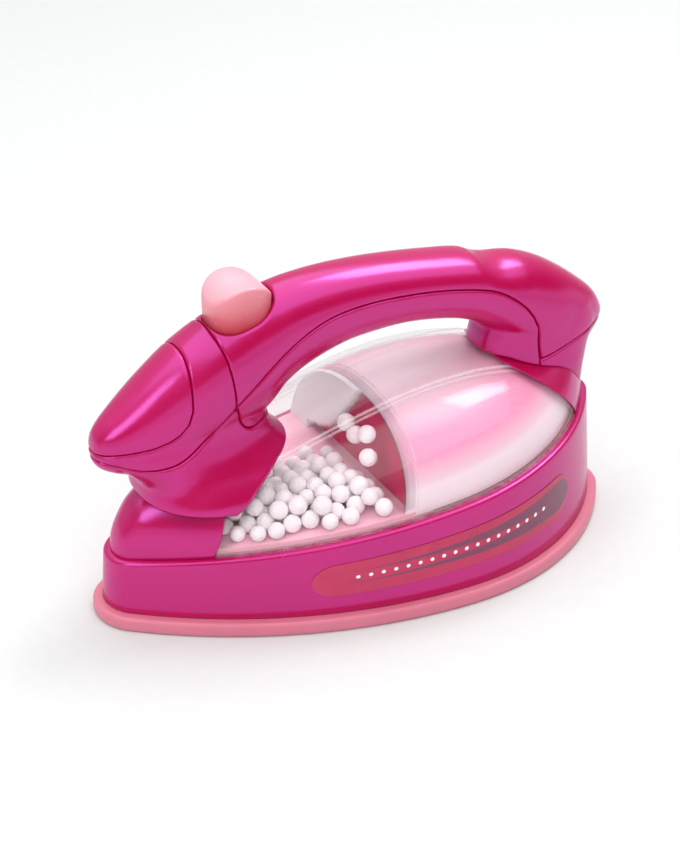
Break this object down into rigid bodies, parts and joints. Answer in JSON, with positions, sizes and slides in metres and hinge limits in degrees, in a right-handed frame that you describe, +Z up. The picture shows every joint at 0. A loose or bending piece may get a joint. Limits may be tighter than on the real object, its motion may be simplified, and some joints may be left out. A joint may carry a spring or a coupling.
{
  "type": "toy iron",
  "caption": "Toy iron with a boat-shaped base, a clear tank of foam beads blown about by a small fan, a looped handle and a sprung push button.",
  "frame": {"origin": "middle of the sole, on the plane it stands on", "axes": "+Z up, -X towards the pointed toe, +X towards the heel, Y across"},
  "size_m": [0.1706, 0.0904, 0.0995],
  "materials": {
    "magenta_gloss": "glossy moulded magenta",
    "salmon_satin": "satin moulded salmon pink",
    "clear_tank": "clear polished plastic",
    "pale_pink": "pearly pale pink",
    "white_foam": "matt expanded foam",
    "coral_button": "glossy coral",
    "printed_band": "printed gloss film",
    "screw_steel": "zinc plated",
    "contact_brass": "bright",
    "cell_sleeve": "printed sleeve",
    "inner_white": "plain moulded white",
    "board_laminate": "phenolic board",
    "switch_black": "plain moulded black",
    "loom_red": "soft insulated wire"
  },
  "bodies": {
    "iron": {"sole_plate": "salmon_satin", "battery_door": "salmon_satin", "door_screw": "screw_steel", "battery_cells": "cell_sleeve", "contact_springs": "screw_steel", "contact_plates": "contact_brass", "base_shell": "magenta_gloss", "base_screws": "screw_steel", "side_labels": "printed_band", "tank_floor": "pale_pink", "tank_partition": "clear_tank", "blower_plate": "magenta_gloss", "tank_cover": "clear_tank", "rear_liner": "pale_pink", "foam_beads": "white_foam", "toe_cap": "magenta_gloss", "heel_saddle": "magenta_gloss", "cap_screws": "screw_steel", "front_post": "magenta_gloss", "rear_post": "magenta_gloss", "post_screws": "screw_steel", "grip_lower": "magenta_gloss", "grip_upper": "magenta_gloss", "nose_collar": "magenta_gloss", "nose_cap": "magenta_gloss", "grip_screws": "screw_steel", "button_spring": "screw_steel", "button_guide": "inner_white", "switch_board": "board_laminate", "push_switch": "switch_black", "motor": "screw_steel", "motor_cradle": "inner_white", "wire_loom": "loom_red"},
    "button": {"push_button": "coral_button", "stem_clip": "screw_steel"},
    "blower": {"motor_shaft": "screw_steel", "blower_wheel": "inner_white"}
  },
  "joints": [
    {"name": "button_press", "type": "slide", "parent": "iron", "child": "button", "axis": [0, 0, -1], "range_m": [0, 0.003], "stiffness_N_per_m": 400, "springref_m": -0.002, "deforming": ["button_spring"]},
    {"name": "blower_spin", "type": "hinge", "parent": "iron", "child": "blower", "pos_m": [0.0115, -0.008, 0.041], "axis": [1, 0, 0], "continuous": true}
  ]
}
